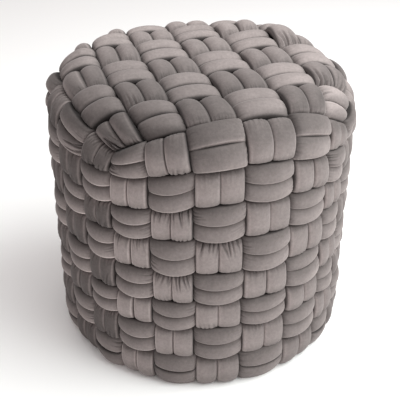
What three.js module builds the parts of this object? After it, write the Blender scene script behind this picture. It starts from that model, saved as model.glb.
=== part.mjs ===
import * as THREE from "three";
import { mergeVertices } from "three/addons/utils/BufferGeometryUtils.js";

// A round pouf of padded bands in a basket weave. Each band is a pair of stuffed strands.
// Six bands cross the top from left to right and six from front to back. All of them fold over
// the rim and run down the side, where eight bands go round the pouf and weave through them.
// Millimetres, +Z up, the underside on z = 0, -Y the front, X and Y along the top's bands.

const OUTER_RADIUS = 220; // to the crests of the strands on the side
const HEIGHT = 419; // to the crests of the strands in the middle of the top
const RELIEF = 13; // height of a crest on the side above the lines between blocks
const TOP_RELIEF = 13.5; // the same on the top
const BACK_RISE = 5; // how much fuller the top is towards its back edge
const RIM_RADIUS = 68; // the round edge between top and side, at the crests
const CROWN = 1; // the top's rise from where the rim starts to its centre
const FOOT_RADIUS = 34; // the side's turn inwards above the floor
const FOOT_TURN = THREE.MathUtils.degToRad(60);
const CORNER_DRAW = 0.135; // how far the corners of the woven square are pulled in, as a share
const CORNER_AT = 190; // half the width of the woven square

// Lines between the bands of the top: x from the left edge, y from the front edge.
const TOP_LINES = {
  x: [-197.5, -136.5, -74, -6.5, 63, 131, 206],
  y: [-181.5, -113.5, -38.5, 30.5, 95.5, 144, 192],
};

// Lines between the 24 upright bands, in degrees from the front towards +X, side by side.
const UPRIGHT_LINES = {
  front: [-50, -35, -19.5, -2, 16, 33.5],
  right: [46.5, 60.5, 75.5, 91.5, 107.5, 122.5],
  back: [136.5, 150, 164, 178.5, 193, 207],
  left: [220.5, 234, 249, 265, 281, 296.5],
};

// Lower edges of the eight bands that go round, from the rim down. The swag lifts an edge at
// the middle of each face and lowers it at the corners.
const ROUND_LINES = [
  { z: 336, swag: 11 },
  { z: 288, swag: 8 },
  { z: 242, swag: 2.5 },
  { z: 191.5, swag: 0 },
  { z: 145, swag: 0 },
  { z: 102, swag: 0 },
  { z: 52.5, swag: 0 },
  { z: 0, swag: 0 },
];

// One block of two strands: its height across the strands and its height along them,
// each as a share of the relief, at shares of the block's width and length.
const ACROSS = [
  { at: 0.09, lift: 0.7 },
  { at: 0.25, lift: 1 },
  { at: 0.41, lift: 0.8 },
  { at: 0.5, lift: 0.5 },
  { at: 0.59, lift: 0.8 },
  { at: 0.75, lift: 1 },
  { at: 0.91, lift: 0.7 },
];
const ALONG = [
  { at: 0.13, lift: 0.84 },
  { at: 0.5, lift: 1 },
  { at: 0.87, lift: 0.84 },
];
const ALONG_UPRIGHT = [ALONG[0], ALONG[2]];
const ALONG_TOP = [
  { at: 0.13, lift: 0.58 },
  { at: 0.5, lift: 1 },
  { at: 0.87, lift: 0.58 },
];
const EDGE = [0, 0.25, 0.5, 0.75, 1];

const FLAT = OUTER_RADIUS - RIM_RADIUS;
const BEND = RIM_RADIUS - RELIEF;
const SIDE_RADIUS = OUTER_RADIUS - RELIEF;
const SIDE_TOP = HEIGHT - TOP_RELIEF - CROWN - BEND;
const SIDE_START = FLAT + (BEND * Math.PI) / 2;
const FOOT_RISE = FOOT_RADIUS * Math.sin(FOOT_TURN);
const FOOT_START = SIDE_START + SIDE_TOP - FOOT_RISE;

// The point at the distance s from the top's centre, measured along the surface, in the
// direction given by a bearing, and raised off the surface by a lift.
function onSurface(bearing, s, lift) {
  let radius = s;
  let z = HEIGHT - TOP_RELIEF - CROWN * Math.min(s / FLAT, 1) ** 2;
  let turn = 0;
  if (s > FOOT_START) {
    const bent = (s - FOOT_START) / FOOT_RADIUS;
    radius = SIDE_RADIUS - FOOT_RADIUS * (1 - Math.cos(bent));
    z = FOOT_RISE - FOOT_RADIUS * Math.sin(bent);
    turn = Math.PI / 2;
  } else if (s > SIDE_START) {
    radius = SIDE_RADIUS;
    z = SIDE_TOP - (s - SIDE_START);
    turn = Math.PI / 2;
  } else if (s > FLAT) {
    turn = (s - FLAT) / BEND;
    radius = FLAT + BEND * Math.sin(turn);
    z -= BEND * (1 - Math.cos(turn));
  }
  const back = THREE.MathUtils.clamp((-Math.cos(bearing) * radius) / FLAT, 0, 1);
  z += BACK_RISE * back ** 2 * Math.cos(Math.min(turn, Math.PI / 2));
  const out = radius + lift * Math.sin(turn);
  return new THREE.Vector3(
    out * Math.sin(bearing),
    -out * Math.cos(bearing),
    z + lift * Math.cos(turn),
  );
}

// The distance from the top's centre, along the surface, at which the side has the height z.
function distanceAt(z) {
  if (z >= FOOT_RISE) return SIDE_START + SIDE_TOP - z;
  return FOOT_START + FOOT_RADIUS * Math.asin((FOOT_RISE - z) / FOOT_RADIUS);
}

// Reads a table at a place that may lie between two of its entries.
function between(table, place) {
  const low = Math.min(Math.floor(place), table.length - 2);
  return THREE.MathUtils.lerp(table[low], table[low + 1], place - low);
}

// Bearing and distance of a place on the woven square, counted in bands from its left front.
function onSquare(across, back) {
  const x = between(TOP_LINES.x, across);
  const y = between(TOP_LINES.y, back);
  const corner = Math.min(((x * y) / (CORNER_AT * CORNER_AT)) ** 2, 1.2);
  return {
    bearing: Math.atan2(x, -y),
    s: Math.hypot(x, y) * (1 - CORNER_DRAW * corner),
  };
}

// The edge of the woven square, counted in bands round it from its left front corner.
function onSquareEdge(round) {
  const face = Math.floor(round / 6) % 4;
  const along = round % 6;
  const places = [
    [along, 0],
    [6, along],
    [6 - along, 6],
    [0, 6 - along],
  ];
  return onSquare(...places[face]);
}

const bearings = Object.values(UPRIGHT_LINES).flat();
bearings.push(bearings[0] + 360);

// Bearing and distance of a place on the side: round is counted in bands from the left front
// corner, and down in bands from the edge of the woven square.
function onSide(round, down) {
  const line = Math.min(Math.floor(down), ROUND_LINES.length - 1);
  const swag = -Math.cos((round * Math.PI) / 3);
  const straight = THREE.MathUtils.degToRad(between(bearings, round));
  const lower = distanceAt(ROUND_LINES[line].z) - ROUND_LINES[line].swag * swag;
  if (line > 0) {
    const above = ROUND_LINES[line - 1];
    const upper = distanceAt(above.z) - above.swag * swag;
    return { bearing: straight, s: THREE.MathUtils.lerp(upper, lower, down - line) };
  }
  const edge = onSquareEdge(round % 24);
  const turns = Math.round((straight - edge.bearing) / (2 * Math.PI));
  const start = edge.bearing + 2 * Math.PI * turns;
  return {
    bearing: THREE.MathUtils.lerp(start, straight, down),
    s: THREE.MathUtils.lerp(edge.s, lower, down),
  };
}

// The height of a crossing band's crest, at a place counted in bands in from the woven square's
// edge. It goes over from the top's to the side's as the band folds.
function reliefAt(inwards) {
  return THREE.MathUtils.lerp(RELIEF, TOP_RELIEF, THREE.MathUtils.clamp(0.5 + inwards, 0, 1));
}

const corners = [];

// Adds a triangle that faces out.
function triangle(a, b, c) {
  for (const point of [a, b, c]) corners.push(point.x, point.y, point.z);
}

// Fills the strip between an outer and an inner row of points that run side by side.
function strip(outer, inner) {
  let i = 0;
  let j = 0;
  while (i < outer.length - 1 || j < inner.length - 1) {
    const nextOuter = (i + 1) / (outer.length - 1);
    const nextInner = (j + 1) / (inner.length - 1);
    if (nextOuter <= nextInner) {
      triangle(outer[i], outer[i + 1], inner[j]);
      i += 1;
    } else {
      triangle(outer[i], inner[j + 1], inner[j]);
      j += 1;
    }
  }
}

// Adds one block of two strands. The place function takes shares of the block's width and
// height and a share of its relief. Upright strands run along the height, others along the width.
function block(place, upright, along) {
  const columns = upright ? ACROSS : along;
  const rows = upright ? along : ACROSS;
  const grid = rows.map((row) =>
    columns.map((column) => place(column.at, row.at, row.lift * column.lift)),
  );
  for (let r = 0; r < rows.length - 1; r += 1) strip(grid[r], grid[r + 1]);
  const low = EDGE.map((t) => place(t, 0, 0));
  const high = EDGE.map((t) => place(t, 1, 0));
  const left = EDGE.map((t) => place(0, t, 0));
  const right = EDGE.map((t) => place(1, t, 0));
  strip(low, grid[0]);
  strip(right, grid.map((row) => row.at(-1)));
  strip(high.reverse(), [...grid.at(-1)].reverse());
  strip(left.reverse(), grid.map((row) => row[0]).reverse());
}

// Blocks of the top. A band from left to right lies over where the counts add up to an odd
// number, and elsewhere the band from front to back does.
for (let column = 0; column < 6; column += 1) {
  for (let row = 0; row < 6; row += 1) {
    const upright = (column + row) % 2 === 0;
    const place = (u, v, lift) => {
      const { bearing, s } = onSquare(column + u, row + v);
      const along = upright ? row + v : column + u;
      return onSurface(bearing, s, lift * reliefAt(Math.min(along, 6 - along)));
    };
    block(place, upright, ALONG_TOP);
  }
}

// Blocks of the side, where upright bands and bands that go round lie over in turn.
for (let column = 0; column < 24; column += 1) {
  for (let row = 0; row < 8; row += 1) {
    const upright = (column + row) % 2 === 1;
    const place = (u, v, lift) => {
      const down = row + 1 - v;
      const { bearing, s } = onSide(column + u, down);
      return onSurface(bearing, s, lift * (upright ? reliefAt(-down) : RELIEF));
    };
    block(place, upright, upright ? ALONG_UPRIGHT : ALONG);
  }
}

// The flat underside, a fan of triangles from its middle to the side's lower edge.
const middle = new THREE.Vector3(0, 0, 0);
const lowerEdge = [];
for (let column = 0; column < 24; column += 1) {
  for (const t of EDGE.slice(0, -1)) {
    const { bearing, s } = onSide(column + t, 8);
    lowerEdge.push(onSurface(bearing, s, 0).setZ(0));
  }
}
lowerEdge.forEach((point, n) => {
  triangle(lowerEdge[(n + 1) % lowerEdge.length], point, middle);
});

const soup = new THREE.BufferGeometry();
soup.setAttribute("position", new THREE.Float32BufferAttribute(corners, 3));
const body = mergeVertices(soup, 0.01);
body.computeBoundingBox();
const centre = body.boundingBox.getCenter(new THREE.Vector3());
body.translate(-centre.x, -centre.y, 0);
body.computeVertexNormals();

const braidedBody = new THREE.Mesh(
  body,
  new THREE.MeshStandardMaterial({ color: 0x948c86, roughness: 0.85, metalness: 0 }),
);
braidedBody.name = "braided_body";

const pouf = new THREE.Group();
pouf.name = "braided_pouf";
pouf.add(braidedBody);

export default pouf;
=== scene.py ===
"""Round floor pouf of grey-taupe velvet, woven all over from pairs of stuffed strands.

Twelve bands cross the top and run down the side, and eight bands go round the side and weave
through them. Each band is a pair of stuffed velvet tubes. All lengths are in metres, +Z is up,
-Y is the front, and the underside lies on z = 0.
"""

import logging
import math
from dataclasses import dataclass, field, fields
from enum import Enum

import bpy
import numpy as np
from bpy.types import Material, Node, NodeSocket, NodeTree, Object
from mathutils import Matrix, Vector


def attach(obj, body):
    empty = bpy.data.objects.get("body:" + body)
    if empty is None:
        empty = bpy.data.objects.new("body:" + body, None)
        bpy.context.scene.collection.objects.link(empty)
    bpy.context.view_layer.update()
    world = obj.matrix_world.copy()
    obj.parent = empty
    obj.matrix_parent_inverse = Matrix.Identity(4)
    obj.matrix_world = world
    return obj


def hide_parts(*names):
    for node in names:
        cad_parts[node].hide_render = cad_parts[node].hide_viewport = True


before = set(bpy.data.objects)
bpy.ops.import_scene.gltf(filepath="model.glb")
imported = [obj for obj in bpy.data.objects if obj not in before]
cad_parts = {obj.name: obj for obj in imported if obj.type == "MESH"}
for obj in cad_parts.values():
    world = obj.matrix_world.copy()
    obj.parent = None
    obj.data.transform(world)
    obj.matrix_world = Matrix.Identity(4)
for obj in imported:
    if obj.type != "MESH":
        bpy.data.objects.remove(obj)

Array = np.ndarray
Pair = tuple[float, float]
LOG = logging.getLogger("pouf")
BODY_NODE = "braided_body"
BODY_SLOT = "taupe_velvet"
TOP_BANDS = 6
SIDE_BANDS = 24
ROUND_BANDS = 8
# Values at each point of a strand that its cloth reads.
STRAND_VALUES = ("run", "girth", "end", "tone")


def linear(hex_colour: str) -> tuple[float, float, float, float]:
    """Turns an sRGB hex colour into linear light.

    Args:
        hex_colour: six hex digits, with or without a leading hash.

    Returns:
        Linear red, green and blue, and an alpha of 1.
    """
    digits = hex_colour.lstrip("#")
    parts = [int(digits[n : n + 2], 16) / 255 for n in (0, 2, 4)]
    light = [p / 12.92 if p <= 0.04045 else ((p + 0.055) / 1.055) ** 2.4 for p in parts]
    return (light[0], light[1], light[2], 1.0)


def read_table(table: Array, place: Array) -> Array:
    """Reads a table smoothly between its entries, with a Catmull-Rom curve.

    Args:
        table: the values at the places 0, 1, 2 and so on.
        place: where to read, in entries.

    Returns:
        One value for each place, carried on in a straight line past both ends.
    """
    padded = np.concatenate([[2 * table[0] - table[1]], table, [2 * table[-1] - table[-2]]])
    low = np.clip(np.floor(place).astype(int), 0, len(table) - 2)
    t = place - low
    p0, p1, p2, p3 = (padded[low + n] for n in range(4))
    inside = p1 + 0.5 * t * (
        p2 - p0 + t * (2 * p0 - 5 * p1 + 4 * p2 - p3 + t * (3 * (p1 - p2) + p3 - p0))
    )
    before = table[0] + place * (table[1] - table[0])
    after = table[-1] + (place - len(table) + 1) * (table[-1] - table[-2])
    return np.where(place < 0, before, np.where(place > len(table) - 1, after, inside))


@dataclass(frozen=True)
class PoufForm:
    """The rounded form that the weave lies on, and the lines between its bands."""

    outer_radius: float = 0.220  # to the crests on the side
    height: float = 0.419  # to the crests in the middle of the top
    relief: float = 0.013  # of a crest on the side above the lines
    top_relief: float = 0.0135  # the same on the top
    back_rise: float = 0.005
    back_places: tuple = (-0.2, -0.1, 0.0, 0.1, 0.2)
    back_swells: tuple = (0.005, 0.003, -0.002, 0.000, 0.010)
    corner_swells: tuple = (0.007, 0.014)  # at the left and right back corner
    corner_length: float = 0.090
    rim_radius: float = 0.068
    crown: float = 0.001
    foot_radius: float = 0.034
    foot_turn: float = math.radians(60)
    under_bend: float = 0.020  # length of the turn into the underside
    corner_draw: float = 0.135  # share by which the square's corners are pulled in
    corner_most: float = 1.2  # most that a place counts as a corner
    corner_at: float = 0.190  # half the width of the woven square
    # Lines between the bands of the top, from the left and from the front.
    lines_x: tuple = (-0.1975, -0.1365, -0.074, -0.0065, 0.063, 0.131, 0.206)
    lines_y: tuple = (-0.1815, -0.1135, -0.0385, 0.0305, 0.0955, 0.144, 0.192)
    # Lines between the upright bands, in degrees from the front towards +X.
    upright_lines: tuple = (
        -50, -35, -19.5, -2, 16, 33.5,  # front
        46.5, 60.5, 75.5, 91.5, 107.5, 122.5,  # right
        136.5, 150, 164, 178.5, 193, 207,  # back
        220.5, 234, 249, 265, 281, 296.5,  # left
    )
    # Lower edges of the bands that go round, and how far each rises at the middle of a face.
    round_heights: tuple = (0.3385, 0.2905, 0.2445, 0.194, 0.147, 0.104, 0.054, 0.0)
    round_swags: tuple = (0.011, 0.008, 0.0025, 0, 0, 0, 0, 0)

    @property
    def flat(self) -> float:
        """Radius at which the rim starts."""
        return self.outer_radius - self.rim_radius

    @property
    def bend(self) -> float:
        """Radius of the rim's arc at the lines between blocks."""
        return self.rim_radius - self.relief

    @property
    def side_top(self) -> float:
        """Height at which the rim's arc meets the side."""
        return self.height - self.top_relief - self.crown - self.bend

    @property
    def side_start(self) -> float:
        """Distance along the surface from the top's centre to the side."""
        return self.flat + self.bend * math.pi / 2

    @property
    def foot_rise(self) -> float:
        """Height at which the side starts to turn inwards."""
        return self.foot_radius * math.sin(self.foot_turn)

    @property
    def foot_start(self) -> float:
        """Distance along the surface from the top's centre to the foot's arc."""
        return self.side_start + self.side_top - self.foot_rise

    @property
    def foot_end(self) -> float:
        """Distance along the surface from the top's centre to the floor."""
        return self.foot_start + self.foot_radius * self.foot_turn

    def surface(self, bearing: Array, s: Array) -> tuple[Array, Array]:
        """Finds points and outward directions on the form.

        The section is a slightly crowned top, an arc for the rim, an upright side, a short arc
        inwards for the foot, and the flat underside.

        Args:
            bearing: direction from the axis, in radians from the front towards +X.
            s: distance from the top's centre along the surface.

        Returns:
            Points and unit normals, each with a last axis of 3.
        """
        rim = np.clip((s - self.flat) / self.bend, 0, math.pi / 2)
        drop = np.clip(s - self.side_start, 0, self.foot_start - self.side_start)
        foot = np.clip((s - self.foot_start) / self.foot_radius, 0, self.foot_turn)
        under = np.maximum(s - self.foot_end, 0)
        radius = np.minimum(s, self.flat) + self.bend * np.sin(rim)
        radius = radius - self.foot_radius * (1 - np.cos(foot)) - under
        z = self.height - self.top_relief - self.crown * np.minimum(s / self.flat, 1) ** 2
        z = z - self.bend * (1 - np.cos(rim)) - drop - self.foot_radius * np.sin(foot)
        back = np.clip(-np.cos(bearing) * radius / self.flat, 0, 1)
        z = z + self.back_rise * back**2 * np.cos(rim)
        last_turn = (math.pi / 2 - self.foot_turn) * np.clip(under / self.under_bend, 0, 1)
        turn = rim + foot + last_turn
        east, north = np.sin(bearing), -np.cos(bearing)
        points = np.stack([radius * east, radius * north, z], axis=-1)
        normals = np.stack([np.sin(turn) * east, np.sin(turn) * north, np.cos(turn)], axis=-1)
        return points, normals

    def fullness(self, points: Array) -> Array:
        """Finds how much the strands swell out near the top's back edge and back corners.

        The edge's swell grows with the fourth power of the way back, and a corner's with the
        third power of the way aside.

        Args:
            points: places on the form.

        Returns:
            Lifts off the form.
        """
        x, y = points[..., 0], points[..., 1]
        on_top = np.clip((points[..., 2] - self.side_top) / self.bend, 0, 1)
        edge = np.interp(x, self.back_places, self.back_swells) * np.clip(y / self.flat, 0, 1) ** 4
        left, right = self.corner_swells
        corner = np.clip(np.abs(x) / self.flat, 0, 1) ** 3
        corner = corner * np.clip(y / self.corner_length, 0, 1)
        return (edge + np.where(x < 0, left, right) * corner) * on_top

    def distance_at(self, z: Array) -> Array:
        """Finds the distance along the surface at which the side has a height.

        Args:
            z: heights between the floor and the rim.

        Returns:
            Distances from the top's centre.
        """
        turn = np.arcsin(np.clip((self.foot_rise - z) / self.foot_radius, 0, 1))
        upright = self.side_start + self.side_top - np.maximum(z, self.foot_rise)
        return upright + self.foot_radius * turn

    def on_square(self, across: Array, back: Array) -> tuple[Array, Array]:
        """Finds a place on the woven square of the top.

        Both coordinates are read from the bands' lines. The distance is then shortened by the
        square of their product, which draws in the corners.

        Args:
            across: bands from the left edge.
            back: bands from the front edge.

        Returns:
            Bearing and distance from the top's centre.
        """
        x = read_table(np.array(self.lines_x), across)
        y = read_table(np.array(self.lines_y), back)
        corner = np.minimum(((x * y) / self.corner_at**2) ** 2, self.corner_most)
        return np.arctan2(x, -y), np.hypot(x, y) * (1 - self.corner_draw * corner)

    def on_side(self, round_at: Array, down: Array) -> tuple[Array, Array]:
        """Finds a place on the side.

        The upright lines start at the edge of the woven square and straighten over the first
        round band. The height is read between the edges of the round bands.

        Args:
            round_at: bands from the left front corner, counted towards the right.
            down: bands down from the edge of the woven square.

        Returns:
            Bearing and distance from the top's centre.
        """
        lines = np.radians(self.upright_lines)
        turn = 2 * math.pi
        table = np.concatenate([lines[-2:] - turn, lines, lines[:3] + turn])
        straight = read_table(table, round_at + 2)
        face = np.floor(round_at / TOP_BANDS).astype(int) % 4
        along = np.mod(round_at, TOP_BANDS)
        first, last = 0 * along, 0 * along + TOP_BANDS
        across = np.choose(face, [along, last, last - along, first])
        back = np.choose(face, [first, along, last, last - along])
        edge_bearing, edge_s = self.on_square(across, back)
        edge_bearing = edge_bearing + turn * np.round((straight - edge_bearing) / turn)
        swag = -np.cos(round_at * math.pi / (TOP_BANDS / 2))
        heights = [
            self.distance_at(np.full_like(swag, z)) - lift * swag
            for z, lift in zip(self.round_heights, self.round_swags)
        ]
        levels = np.stack([edge_s, *heights])
        low = np.clip(np.floor(down).astype(int), 0, ROUND_BANDS - 1)
        above, below = (np.take_along_axis(levels, low[None] + n, axis=0)[0] for n in (0, 1))
        s = above + (down - low) * (below - above)
        blend = np.clip(down, 0, 1)
        return edge_bearing + blend * (straight - edge_bearing), s


class Way(Enum):
    """Which way a band runs."""

    ACROSS = "across"
    BACK = "back"
    ROUND = "round"


@dataclass(frozen=True)
class Course:
    """Where a strand's sections lie, with one entry for each step along it."""

    place: Array  # along the band, in blocks
    block: Array  # number of the block
    ahead: Array  # place in the block, from -1 at its start to 1 at its end
    over: Array  # whether the band lies over there
    on_top: Array  # from 0 on the side to 1 on the top


@dataclass(frozen=True)
class Skin:
    """The surface of a swept strand: arrays of steps by sides, or of one column."""

    points: Array
    facing: Array  # unit directions outwards
    beside: Array  # place across the strand, from -1 to 1
    above: Array  # height in the section, from -1 to 1
    creased: Array  # depth of the creases as a share of a full one
    ahead: Array
    end: Array  # nearness to the block's end, 1 at the end
    on_top: Array
    lower: int  # 1 in the lower strand of a round band, -1 in the upper one, or 0
    left: Array  # share of the painted light from the left


@dataclass(frozen=True)
class PaintedLight:
    """Painted light and shade on a band's pile, by the way that the band runs and faces.

    The level, sweep and rim are a value each, and what painted light from the left adds to it.
    """

    slope_shades: tuple[float, ...]  # painted shading at the SLOPES, from looking down a little to looking up
    side_light: float  # painted light: lighter where the side faces right
    top_light: Pair = (0.0, 0.0)  # the same painted light on the top, to the right and to the back
    turn: float = 0.0  # painted shading that changes towards a block's end, on the side
    top_turn: float = 0.0  # the same on the top
    drift: tuple[float, float, float] = (0.0, 0.0, 0.0)  # painted light across the top, per metre right, back and both
    level: Pair = (1.0, 0.0)
    sweep: Pair = (0.0, 0.0)  # painted light that rises towards a strand's second edge
    rim: Pair = (0.22, 1.0)  # the painted highlight line beside a seam, on the side
    top_rim: float = 0.0  # on the top, at the second edge alone
    rim_height: float = 0.15  # above the seam's start
    rim_spread: float = 0.08
    lower_rim: bool = False  # whether the first edge has no line

    def lightness(self, skin: Skin) -> Array:
        """Finds the painted light and shade of the pile by where it lies and which way it faces.

        The painted shade of the slope is multiplied by e to the power of the painted side and top
        light, the turns and the drifts. The painted highlight line beside a seam is a bell curve of
        the height in the section.

        Args:
            skin: the strand's surface.

        Returns:
            A factor of painted light and shade for the pile's colour, steps by sides.
        """
        top, side = skin.on_top, 1 - skin.on_top
        east, north, up = np.moveaxis(skin.facing, -1, 0)
        x, y, _ = np.moveaxis(skin.points, -1, 0)
        side_lit = self.side_light * east * side
        side_lit += (east * self.top_light[0] + north * self.top_light[1]) * top
        turned = skin.ahead * (self.turn * side + self.top_turn * top)
        right, back, twist = self.drift
        drifted = (x * right + y * back + x * y * twist) * top
        tone = np.interp(up, SLOPES, self.slope_shades) * np.exp(side_lit + turned + drifted)
        level, sweep, rim = (a + b * skin.left for a, b in (self.level, self.sweep, self.rim))
        # a painted highlight line just above the seam
        line = (skin.above - SHADE.seam_start - self.rim_height) / self.rim_spread
        line = np.exp(-(line**2))
        if self.lower_rim:
            line = line * np.clip(1 + 3 * skin.beside, 0, 1)
        rim = rim * side + self.top_rim * top * np.clip(3 * skin.beside, 0, 1)
        return tone * (level + sweep * skin.beside) * (1 + rim * line)


@dataclass(frozen=True)
class Shade:
    """Painted shade: where the velvet is coloured darker, whichever way its band runs."""

    middle: float = 1.02  # lightness at a block's middle
    # painted shade towards a block's ends
    end: float = 0.12
    # painted shade near the floor, fading out over the foot height
    foot: float = 0.16
    foot_height: float = 0.12
    brow: float = 0.12  # painted shade where the weave folds over at the left front
    brow_height: float = 0.372
    brow_spread: float = 0.032
    brow_right: float = 0.2
    brow_fade: float = 3.5  # per metre to the left
    # painted shade in the seams where strands meet
    seam: float = 0.68
    seam_start: float = 0.55  # height in the section
    seam_fade: float = 0.25
    tuck: float = 0.5  # painted shade at a block's very end, where it tucks under
    tuck_length: float = 0.03
    # painted shade in the troughs of the creases
    crease: float = 0.68
    crease_range: Pair = (-0.3, 0.8)  # most that a ridge and a trough count
    pair: float = 0.07  # painted shade on a round band's upper strand, painted light on its lower

    def lightness(self, skin: Skin) -> Array:
        """Finds the painted shade at block ends, seams, creases, the foot and the fold.

        Args:
            skin: the strand's surface.

        Returns:
            A factor of painted shade for the pile's colour, steps by sides.
        """
        x, z = skin.points[..., 0], skin.points[..., 2]
        foot = np.clip(1 - z / self.foot_height, 0, 1)
        brow = np.exp(-(((z - self.brow_height) / self.brow_spread) ** 2))
        brow = brow * np.clip(self.brow_fade * (self.brow_right - x), 0, 1)
        seam = np.clip((self.seam_start - skin.above) / self.seam_fade, 0, 1)
        tuck = np.clip((skin.end - 1 + self.tuck_length) / self.tuck_length, 0, 1)
        crease = np.clip(skin.creased, *self.crease_range)
        around = (1 - self.foot * foot) * (1 - self.brow * brow) * (1 + self.pair * skin.lower)
        block = (self.middle - self.end * skin.end**4) * (1 - self.tuck * tuck)
        return around * block * (1 - self.seam * seam) * (1 - self.crease * crease)


# Upward parts of the outward directions at which a band's painted shading is given.
SLOPES = (-0.25, 0.0, 0.25, 0.5, 0.75, 1.0)
# The painted light and shade of the bands that run each way.
PAINTED_LIGHTS = {
    Way.ACROSS: PaintedLight(
        slope_shades=(0.53, 0.57, 0.58, 0.63, 0.87, 0.99), side_light=0.28, top_light=(0.0, -0.24),
        turn=0.06, top_turn=-0.10, drift=(0.9, 1.2, -12.0), top_rim=0.24,
    ),
    Way.BACK: PaintedLight(
        slope_shades=(0.89, 1.07, 0.93, 0.66, 0.62, 0.82), side_light=-0.31, top_light=(-0.45, 0.0),
        turn=-0.06, drift=(1.1, 2.6, -3.0), top_rim=0.42,
    ),
    Way.ROUND: PaintedLight(
        slope_shades=(0.88, 0.88, 0.77, 0.62, 0.60, 0.62), side_light=0.13, turn=0.12, level=(1.01, 0.20),
        sweep=(0.15, 0.50), rim=(0.56, 1.4), rim_height=0.20, lower_rim=True,
    ),
}
SHADE = Shade()
# The painted light from the left: its strength, where it starts, and how far on it is full.
LEFT_LIGHT = 0.8
LEFT_FROM = -0.08
LEFT_REACH = 0.10

# Width of a pair of strands as a share of its lane, on the side and on the top.
PAIR_SHARES = {Way.ACROSS: (0.93, 1.0), Way.BACK: (0.93, 0.95), Way.ROUND: (1.0, 1.0)}
# Place of the seam in the lowest round band, whose lower strand turns in under the pouf.
LOWEST_SEAM = 0.43
# How far a strand's end goes on under the pouf, in blocks.
TAIL = 0.3
# How close together a section's points stand over its crest, where 1 is evenly spread.
CREST_SPACING = 0.6
# Least height of the velvet above the floor.
FLOOR_GAP = 0.0002
# How much the crest, the width and the thickness of a strand differ from block to block.
UNEVEN_CREST = 0.05
UNEVEN_WIDTH = 0.012
UNEVEN_THICKNESS = 0.04

# Where strands are drawn in hard, by their band's way and number and their place in the pair:
# a block, -1 for its start or 1 for its end, the depth as a share of a full crease, and the
# length as a share of half a block.
GATHERS = {
    (Way.BACK, 0, 0): ((0, -1, 1.4, 1.6), (-2, -1, 0.8, 0.3), (-4, -1, 1.0, 0.5), (-4, 1, 0.7, 0.8)),
    (Way.BACK, 0, 1): ((0, -1, 0.5, 0.6), (-2, -1, 0.9, 0.3), (-4, -1, 0.8, 0.3), (-4, 1, 0.8, 0.9)),
    (Way.BACK, 1, 0): ((-1, -1, 0.6, 0.3), (-3, 1, 1.0, 1.1), (-3, -1, 0.6, 0.2), (-5, 1, 0.9, 1.0)),
    (Way.BACK, 1, 1): ((-1, -1, 1.0, 0.5), (-3, 1, 1.0, 1.1), (-3, -1, 1.0, 0.3), (-5, 1, 1.0, 1.2)),
    (Way.BACK, 2, 0): ((-4, 1, 1.0, 1.0),),
    (Way.BACK, 2, 1): ((-4, 1, 1.0, 1.2),),
    (Way.BACK, 3, 1): ((-3, -1, 0.6, 0.3),),
    (Way.BACK, 4, 0): ((-4, -1, 0.7, 0.3),),
    (Way.BACK, 5, 0): ((1, -1, 1.0, 1.2), (3, -1, 0.8, 0.9)),
    (Way.BACK, 5, 1): ((1, -1, 1.0, 1.2), (3, -1, 0.8, 0.9)),
    (Way.ACROSS, 0, 0): ((-1, -1, 0.8, 1.0), (-3, 1, 0.8, 1.0)),
    (Way.ACROSS, 0, 1): ((-1, -1, 0.8, 1.0), (-3, -1, 0.8, 0.8)),
    (Way.ROUND, 0, 1): ((22, 1, 1.0, 1.2), (0, -1, 1.0, 0.9)),
    (Way.ROUND, 1, 0): ((5, -1, 0.8, 0.8),),
    (Way.ROUND, 2, 0): ((2, -1, 0.6, 0.6),),
    (Way.ROUND, 3, 1): ((1, -1, 0.6, 0.6),),
}


@dataclass(frozen=True)
class Gathering:
    """How the creases at the end of a block spread, and how strong they are by chance.

    The first four pairs are for the depth, in full creases, and for the length, in half blocks.
    """

    least: Pair = (0.10, 0.20)
    chance: Pair = (0.40, 0.60)  # what chance adds
    folded: Pair = (0.4, 0.5)  # more, where a band folds over the left rim
    shares: Pair = (0.35, 0.55)  # least of a single trough
    count: int = 5  # troughs at each end
    places: Pair = (-0.45, 0.95)  # of the first and last; the seam is at 1
    jitter: float = 0.16  # of a trough beside its place
    slant: Pair = (0.1, 0.7)  # of a trough away from the seam
    fade_power: float = 0.8
    lowest: float = 0.05  # height in the section with creases


GATHERING = Gathering()


@dataclass(frozen=True)
class Stuffing:
    """How a stuffed strand fills out where it lies over, and where it passes under.

    Its middle lies at the crest and sinks towards a block's ends by the dome and at the very
    end by the dive, which are shares of the rise. It keeps the under shares of its size where
    it passes under. The squareness is the power of its section.
    """

    half_thickness: float = 0.0115
    crest: float = 0.0015
    rise: float = 0.0120
    dome: float = 0.30
    dive: float = 1.15
    dive_power: float = 12.0
    slump: float = 0.0  # of the fullest place, down the side
    width_share: float = 1.03
    end_narrowing: float = 0.06
    end_thinning: float = 0.10
    squareness: float = 4.5
    bow: float = 0.25  # fall of the outer face to its edges
    sag: float = 0.0  # fullness of the second edge
    under_width: float = 0.88
    under_thickness: float = 0.82
    drape: float = 0.0  # hanging down at a block's middle
    end_lift: float = 0.0  # held up at its ends
    overreach: float = 0.0  # past a block's lines, in blocks
    crease_depth: float = 0.0052
    crease_width: float = 0.105  # share of half the strand's width

    def blended(self, other: "Stuffing", share: Array) -> "Stuffing":
        """Mixes this filling with another, place by place along a strand.

        Args:
            other: the filling that is reached where the share is 1.
            share: how much of the other filling there is at each place.

        Returns:
            A filling whose values are arrays, one entry for each place.
        """
        values = {}
        for entry in fields(self):
            here, there = getattr(self, entry.name), getattr(other, entry.name)
            values[entry.name] = here + share * (there - here)
        return Stuffing(**values)


def share_on_top(place: Array) -> Array:
    """Finds how far places along a band lie on the top, and not on the side."""
    return np.clip(0.5 + np.minimum(place, TOP_BANDS - place), 0, 1)


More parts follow.
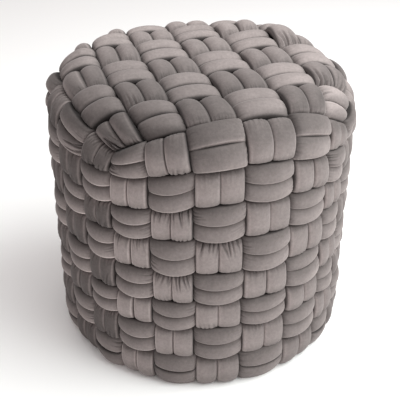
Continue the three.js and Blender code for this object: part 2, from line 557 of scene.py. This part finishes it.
def outward_directions(points: Array, centre: Array) -> Array:
    """Finds which way the surface of a swept strand faces.

    The direction is square to the way along the strand and the way round it.

    Args:
        points: the strand's points, steps by sides.
        centre: the section's middle at each step.

    Returns:
        Unit directions at the points.
    """
    along = np.gradient(points, axis=0)
    around = np.roll(points, -1, axis=1) - np.roll(points, 1, axis=1)
    facing = np.cross(along, around)
    facing /= np.linalg.norm(facing, axis=-1, keepdims=True) + 1e-12
    outward = np.sum(facing * (points - centre[:, None]), axis=-1, keepdims=True)
    return np.where(outward < 0, -facing, facing)


@dataclass
class Band:
    """A pair of stuffed strands that lie side by side and weave through the others."""

    name: str
    way: Way
    number: int  # from the front, the left or the rim
    form: PoufForm
    on_side: Stuffing
    on_top: Stuffing
    over_steps: int = 18  # sections in a block
    under_steps: int = 3
    outer_sides: int = 44  # points of a section
    inner_sides: int = 6
    easing_steps: int = 20  # places in a block at which its course is eased
    easing_reach: int = 7
    piece: Object | None = field(default=None, init=False)

    @property
    def closed(self) -> bool:
        """Whether the band comes back to its own start."""
        return self.way is Way.ROUND

    @property
    def span(self) -> tuple[int, int]:
        """First and last block, counted along the band."""
        if self.closed:
            return 0, SIDE_BANDS
        return -ROUND_BANDS, TOP_BANDS + ROUND_BANDS

    def lies_over(self, block: Array) -> Array:
        """Tells whether the band lies over at each block of its length."""
        odd = (block + self.number) % 2 == 1
        return odd if self.way is Way.ACROSS else ~odd

    def place(self, along: Array, beside: float) -> tuple[Array, Array]:
        """Finds where the band runs on the form.

        Args:
            along: place along the band, in blocks.
            beside: place across the band's width, from 0 to 1.

        Returns:
            Bearing and distance from the top's centre.
        """
        on_side, on_top = PAIR_SHARES[self.way]
        share = on_side + share_on_top(along) * (on_top - on_side)
        if self.closed and self.number == ROUND_BANDS - 1:
            beside += 4 * (LOWEST_SEAM - 0.5) * beside * (1 - beside)
        line = self.number + 0.5 + share * (beside - 0.5)
        if self.closed:
            return self.form.on_side(np.mod(along, SIDE_BANDS), line)
        last = TOP_BANDS
        inside = np.clip(along, 0, last)
        if self.way is Way.ACROSS:
            square, first_edge, last_edge = (inside, line), 4 * last - line, last + line
        else:
            square, first_edge, last_edge = (line, inside), line, 3 * last - line
        top = self.form.on_square(*square)
        start = self.form.on_side(first_edge, np.maximum(-along, 0))
        end = self.form.on_side(last_edge, np.maximum(along - last, 0))
        choices = [along < 0, along > last]
        bearing = np.select(choices, [start[0], end[0]], top[0])
        return bearing, np.select(choices, [start[1], end[1]], top[1])

    def carrier(self, along: Array, beside: float) -> tuple[Array, Array]:
        """Finds what lies under a line of the band, with its kinks eased.

        Args:
            along: place along the band, in blocks.
            beside: place across the band's width, from 0 to 1.

        Returns:
            Points and unit directions outwards.
        """
        first, last = self.span
        steps = self.easing_steps
        fine = np.arange((first - 1) * steps, (last + 1) * steps + 1) / steps
        points, normals = self.form.surface(*self.place(fine, beside))
        weights = np.hanning(2 * self.easing_reach + 1)
        weights /= weights.sum()
        eased = []
        for values in (points, normals):
            columns = [np.convolve(values[:, n], weights, mode="same") for n in range(3)]
            eased.append(np.stack([np.interp(along, fine, c) for c in columns], axis=-1))
        length = np.linalg.norm(eased[1], axis=-1, keepdims=True)
        return eased[0], eased[1] / length

    def course(self) -> Course:
        """Finds where sections are made along the band, close together where it shows.

        A section's place in its block is half even and half a cosine, so that more of them lie
        at the block's ends.

        Returns:
            The sections' places and what the band does there.
        """
        first, last = self.span
        places = []
        for block in range(first, last):
            count = self.over_steps if self.lies_over(np.array(block)) else self.under_steps
            share = np.arange(count) / count
            places.append(block + 0.5 * share + (1 - np.cos(share * math.pi)) / 4)
        if not self.closed:
            places.append(last + TAIL * np.array([0, 0.5, 1]))
            places.insert(0, first - TAIL * np.array([1, 0.5]))
        place = np.concatenate(places)
        block = np.clip(np.floor(place + 1e-9), first, last - 1).astype(int)
        ahead = 2 * np.clip(place - block, 0, 1) - 1
        on_top = share_on_top(place) * (not self.closed)
        return Course(place, block, ahead, self.lies_over(block), on_top)

    def section(self, fill: Stuffing) -> tuple[Array, Array]:
        """Finds the outline of a strand's section, a rounded rectangle, at each step.

        The outline is |x|^p + |y|^p = 1. Its outer points stand close together over the crest.
        Its height then falls with the square of x by the bow, and grows with x by the sag.

        Args:
            fill: the strand's filling at each step.

        Returns:
            Places across the strand and heights, from -1 to 1, steps by sides.
        """
        under = np.linspace(-math.pi / 2, 0, self.inner_sides // 2, endpoint=False)
        outer = np.linspace(-1, 1, self.outer_sides, endpoint=False)
        outer = (1 + CREST_SPACING * outer + (1 - CREST_SPACING) * outer**3) * math.pi / 2
        angle = np.concatenate([under, outer, under + 1.5 * math.pi])
        power = fill.squareness[:, None]
        cosine, sine = np.cos(angle)[None], np.sin(angle)[None]
        reach = (np.abs(cosine) ** power + np.abs(sine) ** power) ** (-1 / power)
        beside, above = reach * cosine, reach * sine
        above = above * (1 - fill.bow[:, None] * beside**2) * (1 + fill.sag[:, None] * beside)
        return beside, above

    def strand(self, side: int) -> "StrandMesh":
        """Sweeps one strand of the pair.

        It rises where it lies over, sinks where it passes under, and narrows with the sixth and
        thins with the fourth power of the nearness to a block's end.

        Args:
            side: 0 for the first strand of the pair and 1 for the second.

        Returns:
            The strand's points, with the values that its cloth needs.
        """
        course = self.course()
        ahead, over = course.ahead, course.over
        first, last = self.span
        seed = 1000 * list(Way).index(self.way) + 10 * self.number + side
        chance = np.random.default_rng(seed)
        puff, girth = chance.normal(0, 1, (2, last - first))[:, course.block - first]
        fill = self.on_side.blended(self.on_top, course.on_top)
        down = np.where(course.place < TOP_BANDS / 2, -1, 1)
        end = np.abs(ahead - fill.slump * (1 - ahead**2) * down)

        along = course.place + fill.overreach * ahead * np.where(over, 1, -1)
        low, _ = self.carrier(along, 0.5 * side)
        high, _ = self.carrier(along, 0.5 * side + 0.5)
        middle, normal = self.carrier(along, 0.5 * side + 0.25)
        lateral = high - low
        lane = np.linalg.norm(lateral, axis=-1)
        lateral -= normal * np.sum(lateral * normal, axis=-1, keepdims=True)
        lateral /= np.linalg.norm(lateral, axis=-1, keepdims=True)

        crest = 1 - fill.dome * end**2 - fill.dive * end**fill.dive_power
        crest += UNEVEN_CREST * puff * (1 - end**2)
        trough = 1 - fill.dome - fill.dive
        lift = fill.crest + fill.rise * (np.where(over, crest, trough) - 1)
        narrow = np.where(over, 1 - fill.end_narrowing * end**6, fill.under_width)
        thin = np.where(over, 1 - fill.end_thinning * end**4, fill.under_thickness)
        half_width = 0.5 * lane * fill.width_share * narrow * (1 + UNEVEN_WIDTH * girth)
        half_thickness = fill.half_thickness * thin * (1 + UNEVEN_THICKNESS * puff)
        lift += self.form.fullness(middle) * over
        hang = fill.drape * (1 - ahead**2) * over - fill.end_lift * np.where(over, ahead**2, 1)
        half_width = half_width + 0.5 * hang * (side == 0)
        aside = hang * (0.5 if side == 0 else 1.0)
        centre = middle + normal * lift[:, None] + lateral * aside[:, None]

        beside, above = self.section(fill)
        creases = self.creases(chance, side, course, beside)
        creases = creases * (over[:, None] & (above > GATHERING.lowest))
        points = (
            centre[:, None]
            + lateral[:, None] * (half_width[:, None] * beside)[..., None]
            + normal[:, None] * (half_thickness[:, None] * above - creases)[..., None]
        )
        points[..., 2] = np.maximum(points[..., 2], FLOOR_GAP)
        run = np.concatenate([[0], np.cumsum(np.linalg.norm(np.diff(middle, axis=0), axis=-1))])
        round_it = np.linalg.norm(np.diff(points, axis=1, append=points[:, :1]), axis=-1)
        girth_at = np.concatenate([[0], np.cumsum(round_it.mean(axis=0))])[:-1]
        shape = points.shape[:2]
        end = np.where(over, end, 1)[:, None]
        skin = Skin(
            points=points,
            facing=outward_directions(points, centre),
            beside=beside,
            above=above,
            creased=creases / self.on_side.crease_depth,
            ahead=ahead[:, None],
            end=end,
            on_top=course.on_top[:, None],
            lower=(2 * side - 1) * self.closed,
            left=LEFT_LIGHT * np.clip((LEFT_FROM - centre[:, :1]) / LEFT_REACH, 0, 1),
        )
        return StrandMesh(
            points=points,
            closed=self.closed,
            run=np.broadcast_to(run[:, None], shape),
            girth=np.broadcast_to(girth_at[None], shape),
            end=np.broadcast_to(end, shape),
            # painted light and shade of the pile, by the way the band runs and faces and at its
            # seams and ends
            tone=PAINTED_LIGHTS[self.way].lightness(skin) * SHADE.lightness(skin),
        )

    def creases(
        self, chance: np.random.Generator, side: int, course: Course, beside: Array
    ) -> Array:
        """Works out the gathers where a strand is drawn in at the ends of its blocks.

        Each end of a block has a few troughs with a low ridge on both sides: (1 - g^2) times e
        to the power of -g^2, where g is the distance from the trough. They fan out from the seam
        between the strands and fade out towards the block's middle.

        Args:
            chance: the strand's source of chance.
            side: 0 for the first strand of the pair and 1 for the second.
            course: where the strand's sections lie.
            beside: place across the strand of each point, from -1 to 1, steps by sides.

        Returns:
            Depths, steps by sides.
        """
        first, last = self.span
        ends = (2, last - first)
        deep, long = (
            least + more * chance.uniform(0, 1, ends) ** 2
            for least, more in zip(GATHERING.least, GATHERING.chance)
        )
        if self.way is Way.ACROSS:
            deep[:, :ROUND_BANDS] += GATHERING.folded[0]
            long[:, :ROUND_BANDS] += GATHERING.folded[1]
        for block, end, depth, length in GATHERS.get((self.way, self.number, side), ()):
            where = ((end + 1) // 2, block - first)
            deep[where], long[where] = depth, length
        shape = (GATHERING.count, *ends)
        spread = np.linspace(*GATHERING.places, GATHERING.count)[:, None, None]
        centre = spread + chance.uniform(-GATHERING.jitter, GATHERING.jitter, shape)
        slant = chance.uniform(*GATHERING.slant, shape)
        least_depth, least_length = GATHERING.shares
        depth = self.on_side.crease_depth * deep * chance.uniform(least_depth, 1, shape)
        reach = long * chance.uniform(least_length, 1, shape)
        seam = 1 if side == 0 else -1
        end = np.abs(course.ahead)
        place = ((course.ahead > 0).astype(int), course.block - first)
        total = np.zeros(beside.shape)
        for n in range(GATHERING.count):
            at = seam * (centre[n][place] - slant[n][place] * (1 - end))
            fade = np.clip((end - 1 + reach[n][place]) / reach[n][place], 0, 1)
            gap = ((beside - at[:, None]) / self.on_side.crease_width) ** 2
            trough = (1 - gap) * np.exp(-gap)
            total += (depth[n][place] * fade**GATHERING.fade_power)[:, None] * trough
        return total

    def build(self) -> Object:
        """Makes the band's piece from its two strands, and links it to the scene."""
        self.piece = join_strands(self.name, [self.strand(0), self.strand(1)])
        return self.piece

    def dress(self, cloth: Material) -> None:
        """Gives the band its cloth and says what it is in the frame.

        Args:
            cloth: the velvet.
        """
        self.piece.data.materials.append(cloth)
        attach(self.piece, "root")
        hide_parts(BODY_NODE)


@dataclass(frozen=True)
class StrandMesh:
    """One swept strand: a grid of points, steps by sides, and the values on them."""

    points: Array
    closed: bool
    run: Array  # distance along the strand
    girth: Array  # distance round it
    end: Array  # nearness to a block's end, from 0 to 1
    tone: Array  # painted light and shade, as a factor for the pile's colour

    def faces(self) -> tuple[Array, Array]:
        """Quads of the tube and triangles of its ends, as corner numbers.

        Returns:
            An array of quads, and an array of triangles that meet in two added middle points.
        """
        steps, sides = self.points.shape[:2]
        rows = np.arange(steps if self.closed else steps - 1)[:, None]
        cols = np.arange(sides)[None]
        next_row, next_col = (rows + 1) % steps, (cols + 1) % sides
        turns = ((rows, cols), (next_row, cols), (next_row, next_col), (rows, next_col))
        quads = np.stack([row * sides + col for row, col in turns], axis=-1).reshape(-1, 4)
        if self.closed:
            return quads, np.zeros((0, 3), int)
        ring = np.arange(sides)
        after = (ring + 1) % sides
        start = np.stack([np.full(sides, steps * sides), ring, after], axis=-1)
        base = (steps - 1) * sides
        stop = np.stack([np.full(sides, steps * sides + 1), base + after, base + ring], axis=-1)
        return quads, np.concatenate([start, stop])

    def corners(self, values: Array) -> Array:
        """Lists a grid's values and, of an open strand, those of its two ends' middle points.

        Args:
            values: the grid, steps by sides.

        Returns:
            A list of values.
        """
        flat = values.reshape(-1, *values.shape[2:])
        if self.closed:
            return flat
        ends = np.stack([values[0].mean(axis=0), values[-1].mean(axis=0)])
        return np.concatenate([flat, ends])


def join_strands(name: str, strands: list[StrandMesh]) -> Object:
    """Makes one smooth mesh piece from strands.

    Args:
        name: the piece's name.
        strands: the strands, each a closed surface.

    Returns:
        The piece, which is linked to the scene.
    """
    coordinates, quads, triangles = [], [], []
    base = 0
    for strand in strands:
        points = strand.corners(strand.points)
        strand_quads, strand_triangles = strand.faces()
        coordinates.append(points)
        quads.append(strand_quads + base)
        triangles.append(strand_triangles + base)
        base += len(points)
    points = np.concatenate(coordinates)
    quad_list, triangle_list = np.concatenate(quads), np.concatenate(triangles)
    loops = np.concatenate([quad_list.ravel(), triangle_list.ravel()])
    totals = np.concatenate([np.full(len(quad_list), 4), np.full(len(triangle_list), 3)])
    mesh = bpy.data.meshes.new(name)
    mesh.vertices.add(len(points))
    mesh.vertices.foreach_set("co", points.ravel().astype(np.float32))
    mesh.loops.add(len(loops))
    mesh.loops.foreach_set("vertex_index", loops.astype(np.int32))
    mesh.polygons.add(len(totals))
    mesh.polygons.foreach_set("loop_start", (np.cumsum(totals) - totals).astype(np.int32))
    mesh.polygons.foreach_set("loop_total", totals.astype(np.int32))
    mesh.polygons.foreach_set("use_smooth", np.ones(len(totals), bool))
    for label in STRAND_VALUES:
        values = np.concatenate([s.corners(getattr(s, label)) for s in strands])
        attribute = mesh.attributes.new(label, "FLOAT", "POINT")
        attribute.data.foreach_set("value", values.astype(np.float32))
    mesh.update(calc_edges=True)
    mesh.validate()
    piece = bpy.data.objects.new(name, mesh)
    bpy.context.scene.collection.objects.link(piece)
    return piece


@dataclass
class FilledBody:
    """The filling behind the weave, in plain cloth, with the flat underside."""

    form: PoufForm
    inset: float = 0.020  # how far it lies inside the form
    hub: float = 0.01  # radius of its innermost ring on the top
    clearance: float = 0.0015  # of the underside above the floor
    sides: int = 96
    piece: Object | None = field(default=None, init=False)

    def build(self) -> Object:
        """Turns the form's section, set in from the weave, round the upright axis.

        Returns:
            The piece, which is linked to the scene.
        """
        form = self.form
        ends = (self.hub, form.flat, form.side_start, form.foot_start, form.foot_end)
        rows = [
            np.linspace(near, far, count, endpoint=False)
            for near, far, count in zip(ends, ends[1:], (7, 11, 11, 7))
        ]
        inner = form.foot_end + np.array([0, 0.0005, 0.02, 0.04, 0.06, 0.08, 0.10, 0.12, 0.14])
        s = np.concatenate([*rows, inner])
        bearing = np.arange(self.sides) / self.sides * 2 * math.pi
        grid = np.meshgrid(s, bearing, indexing="ij")
        points, normals = form.surface(grid[1], grid[0])
        under = grid[0] > form.foot_end
        points = points - normals * np.where(under, 0, self.inset)[..., None]
        lowest = np.maximum(points[..., 2], self.clearance)
        points[..., 2] = np.where(under, self.clearance, lowest)
        blank = np.zeros(points.shape[:2])
        shell = StrandMesh(points, False, blank, blank, blank + 1, blank + 1)
        self.piece = join_strands("filled_body", [shell])
        return self.piece

    def dress(self, cloth: Material) -> None:
        """Gives the body its cloth and says what it is in the frame.

        Args:
            cloth: the velvet.
        """
        self.piece.data.materials.append(cloth)
        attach(self.piece, "root")
        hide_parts(BODY_NODE)


def add_node(tree: NodeTree, kind: str, links: dict | None = None, **settings: str) -> Node:
    """Adds a shader node with its settings and links.

    Args:
        tree: the material's node tree.
        kind: the node's type name, without the leading ShaderNode.
        links: for an input's name or number, the output that feeds it or its plain value.
        **settings: properties of the node itself.

    Returns:
        The new node.
    """
    node = tree.nodes.new(f"ShaderNode{kind}")
    for key, value in settings.items():
        setattr(node, key, value)
    for key, value in (links or {}).items():
        if isinstance(value, NodeSocket):
            tree.links.new(value, node.inputs[key])
        else:
            node.inputs[key].default_value = value
    return node


@dataclass(frozen=True)
class Velvet:
    """Short cut-pile polyester velvet.

    The pile gives a soft matt face that turns light where the cloth curves away from the eye,
    and painted light and shade in each strand's tone make strands that run different ways look
    lighter or darker.
    """

    pile: str = "#837A78"
    sheen_tint: str = "#E8E2E0"
    roughness: float = 0.85
    specular: float = 0.2
    sheen: float = 0.18
    sheen_roughness: float = 0.35
    # Brushed patches of the nap and the grain in them: count to the metre, contrast, roughness.
    mottles: tuple = ((45.0, 0.07, 0.6), (260.0, 0.12, 0.7))
    # Fine folds where a strand is drawn in: count to the metre along and across, depth in mm.
    folds: tuple[float, float, float] = (22.0, 190.0, 4.0)
    # Tufts: count to the metre, depth in mm. They are really under 0.1 mm apart, and are drawn
    # at 1.5 mm so that they show.
    tufts: Pair = (650.0, 0.6)

    def build(self) -> Material:
        """Makes the material: the colour, the relief of folds and tufts, and the sheen.

        Returns:
            A material that reads the strand's painted light tone, run, girth and end values.
        """
        material = bpy.data.materials.new(BODY_SLOT)
        material.use_nodes = True
        tree = material.node_tree
        tree.nodes.clear()
        place = add_node(tree, "TexCoord").outputs["Object"]
        run, girth, end, tone = (
            add_node(tree, "Attribute", attribute_name=value).outputs["Fac"]
            for value in STRAND_VALUES
        )
        for count, contrast, roughness in self.mottles:
            noise = {"Vector": place, "Scale": count, "Detail": 3.0, "Roughness": roughness}
            spots = add_node(tree, "TexNoise", noise).outputs["Fac"]
            levels = {0: spots, 1: 0.3, 2: 0.7, 3: 1 - contrast, 4: 1 + contrast}
            spots = add_node(tree, "MapRange", levels).outputs[0]
            tone = add_node(tree, "Math", {0: spots, 1: tone}, operation="MULTIPLY").outputs[0]
        # The pile's colour is scaled by the painted light and shade of the tone, and by the mottles.
        scaled = {0: linear(self.pile)[:3], 3: tone}
        colour = add_node(tree, "VectorMath", scaled, operation="SCALE").outputs[0]

        *counts, depth = self.folds
        along = add_node(tree, "CombineXYZ", {0: run, 1: girth, 2: 0.0}).outputs[0]
        stretch = {0: along, 1: (*counts, 1.0)}
        along = add_node(tree, "VectorMath", stretch, operation="MULTIPLY").outputs[0]
        noise = {"Vector": along, "Scale": 1.0, "Detail": 2.0, "Roughness": 0.5}
        folds = add_node(tree, "TexNoise", noise).outputs["Fac"]
        near = add_node(tree, "MapRange", {0: end, 1: 0.35, 2: 1.0, 3: 0.0, 4: 1.0}).outputs[0]
        drawn = add_node(tree, "Math", {0: folds, 1: near}, operation="MULTIPLY").outputs[0]
        bump = {"Strength": 0.6, "Distance": depth / 1000, "Height": drawn}
        folded = add_node(tree, "Bump", bump).outputs[0]
        count, depth = self.tufts
        tufts = add_node(tree, "TexNoise", {"Vector": place, "Scale": count, "Detail": 2.0})
        bump = {"Strength": 0.25, "Distance": depth / 1000, "Height": tufts.outputs["Fac"]}
        relief = add_node(tree, "Bump", {**bump, "Normal": folded}).outputs[0]
        look = {
            "Base Color": colour,
            "Roughness": self.roughness,
            "Specular IOR Level": self.specular,
            "Sheen Weight": self.sheen,
            "Sheen Roughness": self.sheen_roughness,
            "Sheen Tint": linear(self.sheen_tint),
            "Normal": relief,
        }
        shader = add_node(tree, "BsdfPrincipled", look)
        add_node(tree, "OutputMaterial", {"Surface": shader.outputs[0]})
        return material


def set_up(item: Object, aim: Vector, azimuth: float, elevation: float, far: float) -> None:
    """Places a camera or lamp so that it looks at its aim, and links it to the scene.

    Args:
        item: the camera or lamp.
        aim: what it looks at.
        azimuth: where it stands, in degrees from the front towards +X.
        elevation: how high it stands, in degrees.
        far: distance from the aim.
    """
    a, e = math.radians(azimuth), math.radians(elevation)
    out = Vector((math.sin(a) * math.cos(e), -math.cos(a) * math.cos(e), math.sin(e)))
    item.location = aim + out * far
    item.rotation_euler = out.to_track_quat("Z", "Y").to_euler()
    bpy.context.scene.collection.objects.link(item)


@dataclass(frozen=True)
class Softbox:
    """One square studio light that points at the pouf's middle."""

    name: str
    azimuth: float
    elevation: float
    distance: float
    size: float
    power: float
    colour: str = "#F8FEFD"

    def build(self, aim: Vector) -> None:
        """Adds the light to the scene.

        Args:
            aim: what it shines at.
        """
        data = bpy.data.lights.new(self.name, "AREA")
        data.shape = "SQUARE"
        data.size = self.size
        data.energy = self.power
        data.color = linear(self.colour)[:3]
        lamp = bpy.data.objects.new(self.name, data)
        set_up(lamp, aim, self.azimuth, self.elevation, self.distance)


@dataclass(frozen=True)
class Studio:
    """The camera, the pale floor and the soft light."""

    azimuth: float = -17.2
    elevation: float = 30.5
    distance: float = 1.183
    aim_across: float = -0.0012
    aim_height: float = 0.182
    focal_pixels: float = 764.2
    frame_pixels: float = 400.0
    floor: str = "#FAFAF9"
    floor_half: float = 6.0
    surround: float = 0.64
    surround_colour: str = "#FFF8F8"
    softboxes: tuple[Softbox, ...] = (
        Softbox("key", 62, 45, 1.8, 2.0, 57),
        Softbox("above", 0, 88, 1.8, 1.2, 7),
    )

    def build(self) -> None:
        """Adds the camera, the floor and the lights to the scene."""
        scene = bpy.context.scene
        aim = Vector((self.aim_across, 0, self.aim_height))
        data = bpy.data.cameras.new("camera")
        data.sensor_width = 36.0
        data.lens = self.focal_pixels * data.sensor_width / self.frame_pixels
        camera = bpy.data.objects.new("camera", data)
        set_up(camera, aim, self.azimuth, self.elevation, self.distance)
        scene.camera = camera

        world = bpy.data.worlds.new("studio")
        world.use_nodes = True
        background = world.node_tree.nodes["Background"]
        background.inputs["Color"].default_value = linear(self.surround_colour)
        background.inputs["Strength"].default_value = self.surround
        scene.world = world
        scene.view_settings.view_transform = "Standard"

        mesh = bpy.data.meshes.new("floor")
        half = self.floor_half
        corners = [(-half, -half, 0), (half, -half, 0), (half, half, 0), (-half, half, 0)]
        mesh.from_pydata(corners, [], [(0, 1, 2, 3)])
        floor = bpy.data.objects.new("floor", mesh)
        scene.collection.objects.link(floor)
        paper = bpy.data.materials.new("pale_paper")
        paper.use_nodes = True
        shader = paper.node_tree.nodes["Principled BSDF"]
        shader.inputs["Base Color"].default_value = linear(self.floor)
        shader.inputs["Roughness"].default_value = 0.9
        mesh.materials.append(paper)
        for softbox in self.softboxes:
            softbox.build(aim)


@dataclass
class Pouf:
    """The whole pouf: the filled body and the bands woven over it."""

    form: PoufForm = field(default_factory=PoufForm)
    across_top: Stuffing = Stuffing(
        half_thickness=0.0105, crest=-0.0036, rise=0.0115, dome=0.60, dive=0.90, squareness=2.8,
        end_narrowing=0.12, bow=0.34, width_share=1.05, under_thickness=0.80, overreach=0.05,
    )
    back_top: Stuffing = Stuffing(
        half_thickness=0.0110, crest=-0.0028, dome=0.60, dive=0.90, squareness=2.8,
        end_narrowing=0.10, bow=0.34, width_share=1.05, under_thickness=0.80,
    )
    down_side: Stuffing = Stuffing(
        slump=0.24, dome=0.28, dive=1.2, dive_power=18.0, end_narrowing=0.04, squareness=4.6,
        width_share=1.05,
    )
    round_side: Stuffing = Stuffing(
        crest=0.0028, dome=0.60, dive=1.00, dive_power=20.0, squareness=4.2, sag=0.08,
        width_share=1.10, end_narrowing=0.02, drape=0.0014, end_lift=0.0034, overreach=0.06,
    )
    round_foot: Stuffing = Stuffing(
        crest=0.0028, dome=0.50, dive=1.10, dive_power=20.0, squareness=4.2, bow=0.18, sag=0.08,
        width_share=1.22, end_narrowing=0.02, end_lift=0.0020, overreach=0.06,
    )
    round_rim: Stuffing = Stuffing(
        crest=0.0020, dome=0.50, dive=1.00, dive_power=18.0, squareness=3.8, bow=0.15, sag=0.12,
        width_share=1.13, end_narrowing=0.02, overreach=0.05,
    )

    def parts(self) -> list[FilledBody | Band]:
        """Lists the pouf's pieces.

        Returns:
            The filled body, the bands across the top and those that go round.
        """
        made: list = [FilledBody(self.form)]
        for way, on_top in ((Way.ACROSS, self.across_top), (Way.BACK, self.back_top)):
            for number in range(TOP_BANDS):
                title = f"band_{way.value}_{number + 1}"
                made.append(Band(title, way, number, self.form, self.down_side, on_top))
        rings = [self.round_rim, *[self.round_side] * (ROUND_BANDS - 2), self.round_foot]
        for number, fill in enumerate(rings):
            title = f"band_round_{number + 1}"
            made.append(Band(title, Way.ROUND, number, self.form, fill, fill))
        return made

    def build(self, cloth: Material) -> None:
        """Builds and dresses every piece.

        Args:
            cloth: the velvet.
        """
        for part in self.parts():
            piece = part.build()
            part.dress(cloth)
            LOG.info("%s: %d faces", piece.name, len(piece.data.polygons))


def main() -> None:
    logging.basicConfig(level=logging.INFO, format="%(name)s: %(message)s")
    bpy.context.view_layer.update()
    Studio().build()
    Pouf().build(Velvet().build())


if __name__ == "__main__":
    main()
